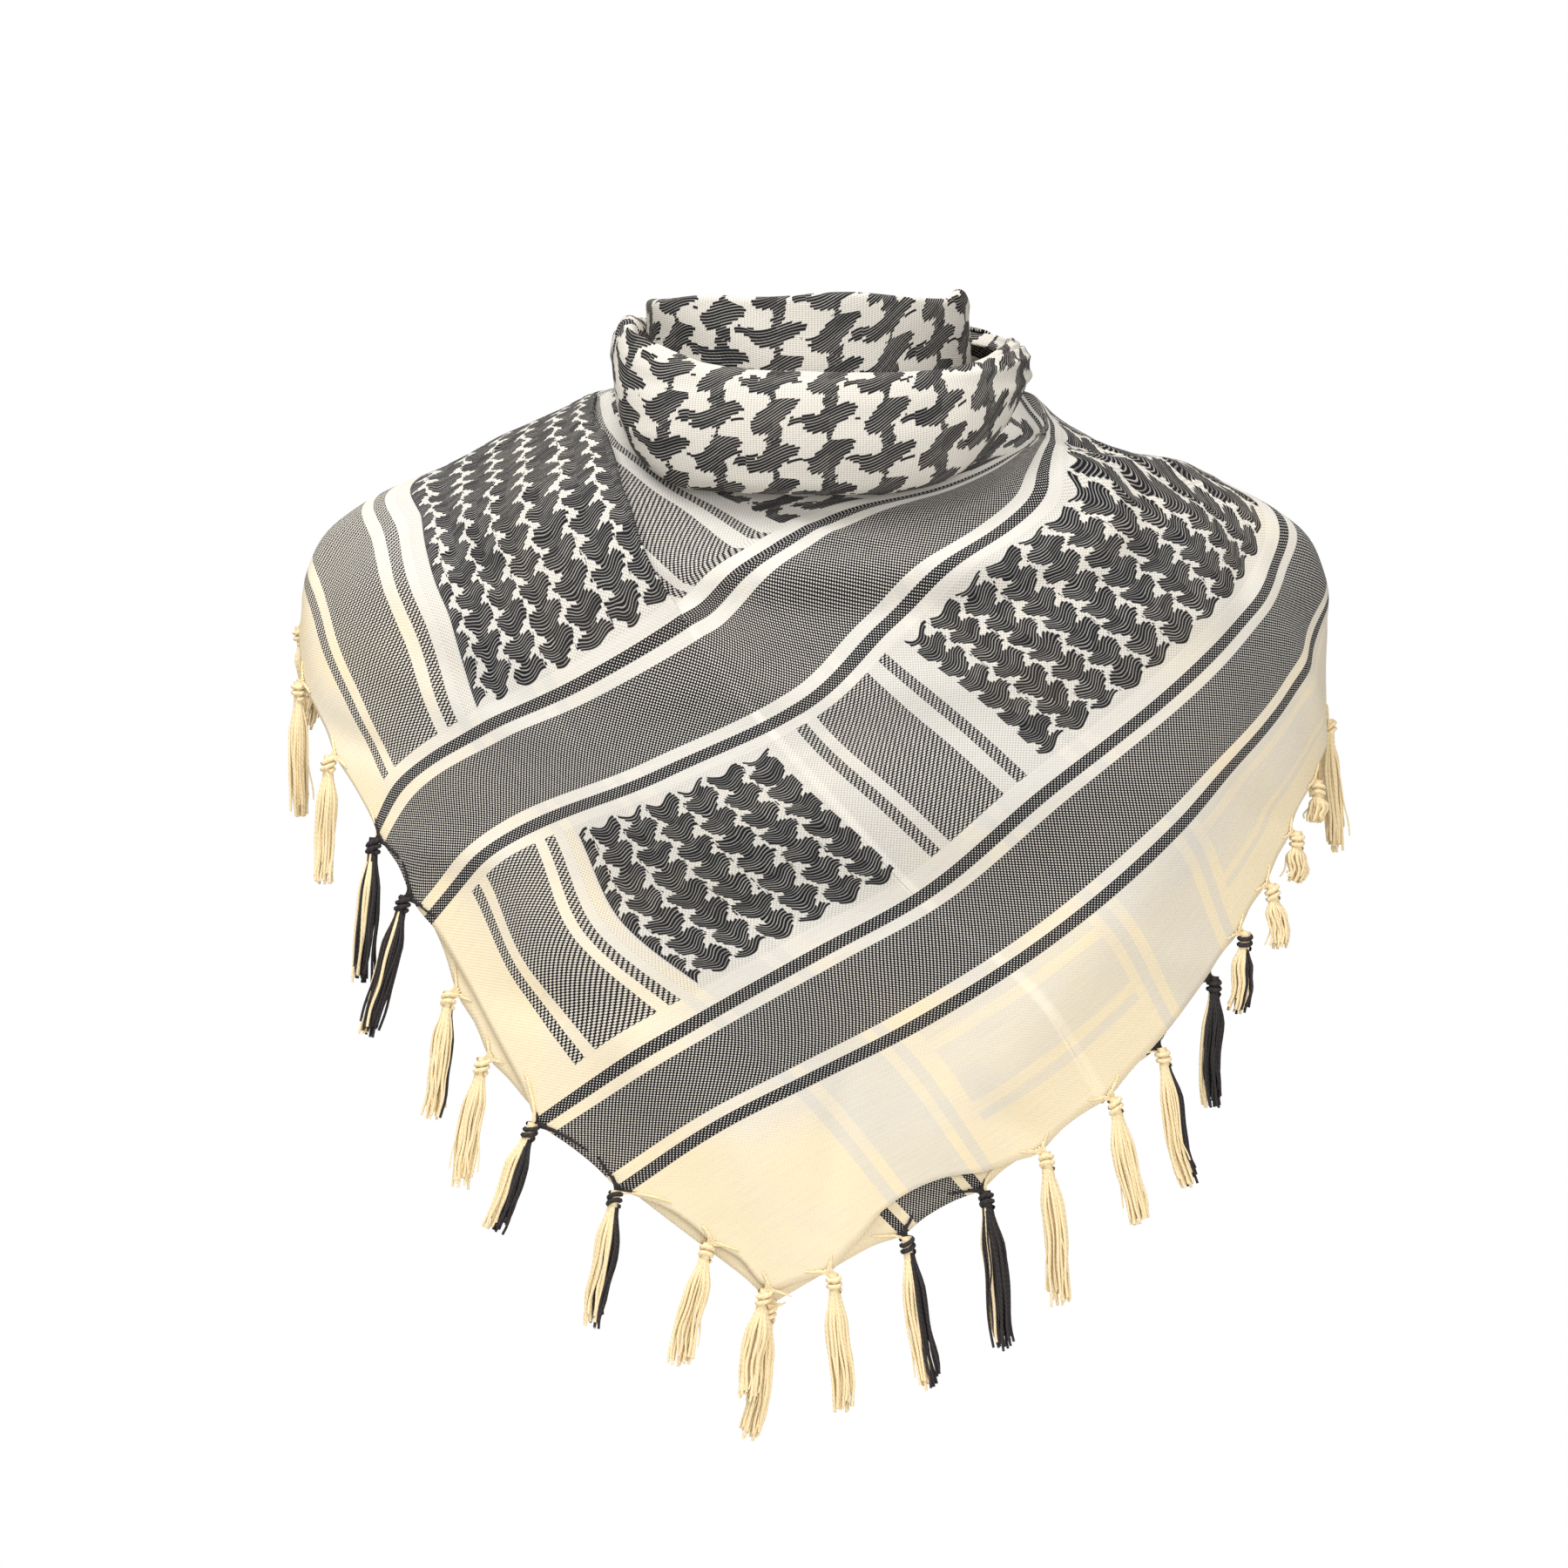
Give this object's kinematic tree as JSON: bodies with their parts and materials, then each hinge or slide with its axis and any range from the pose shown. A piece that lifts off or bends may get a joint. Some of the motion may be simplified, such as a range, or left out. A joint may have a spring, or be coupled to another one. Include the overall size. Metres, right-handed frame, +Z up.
{
  "type": "keffiyeh scarf",
  "caption": "Checked cotton keffiyeh scarf with knotted tassels, folded on its diagonal and worn round the neck with its point in front.",
  "frame": {"origin": "middle of the wearer's neck at the height where the shoulders begin, inside the neck opening", "axes": "+Z up along the neck, the wearer faces -Y, +X towards the wearer's left hand"},
  "size_m": [0.4926, 0.234, 0.5219],
  "materials": {
    "checked_cotton": "loose plain weave with black floats",
    "cream_yarn": "soft cotton yarn",
    "black_yarn": "soft cotton yarn"
  },
  "bodies": {
    "root": {"bib_outer": "checked_cotton", "bib_inner": "checked_cotton", "neck_roll": "checked_cotton", "collar_inner": "checked_cotton", "nape_band": "checked_cotton", "fringe_back_left": "cream_yarn", "fringe_back_right": "cream_yarn", "tassel_00": "cream_yarn", "tassel_01": "cream_yarn", "tassel_02": "cream_yarn", "tassel_03": "black_yarn", "tassel_04": "black_yarn", "tassel_05": "cream_yarn", "tassel_06": "cream_yarn", "tassel_07": "cream_yarn", "tassel_08": "cream_yarn", "tassel_09": "cream_yarn", "tassel_10": "cream_yarn", "tassel_11": "cream_yarn", "tassel_12": "cream_yarn", "tassel_13": "cream_yarn", "tassel_14": "black_yarn", "tassel_15": "cream_yarn", "tassel_16": "cream_yarn", "tassel_17": "cream_yarn", "tassel_18": "black_yarn", "tassel_19": "cream_yarn", "tassel_20": "cream_yarn", "tassel_21": "cream_yarn", "tassel_22": "cream_yarn"}
  },
  "joints": []
}
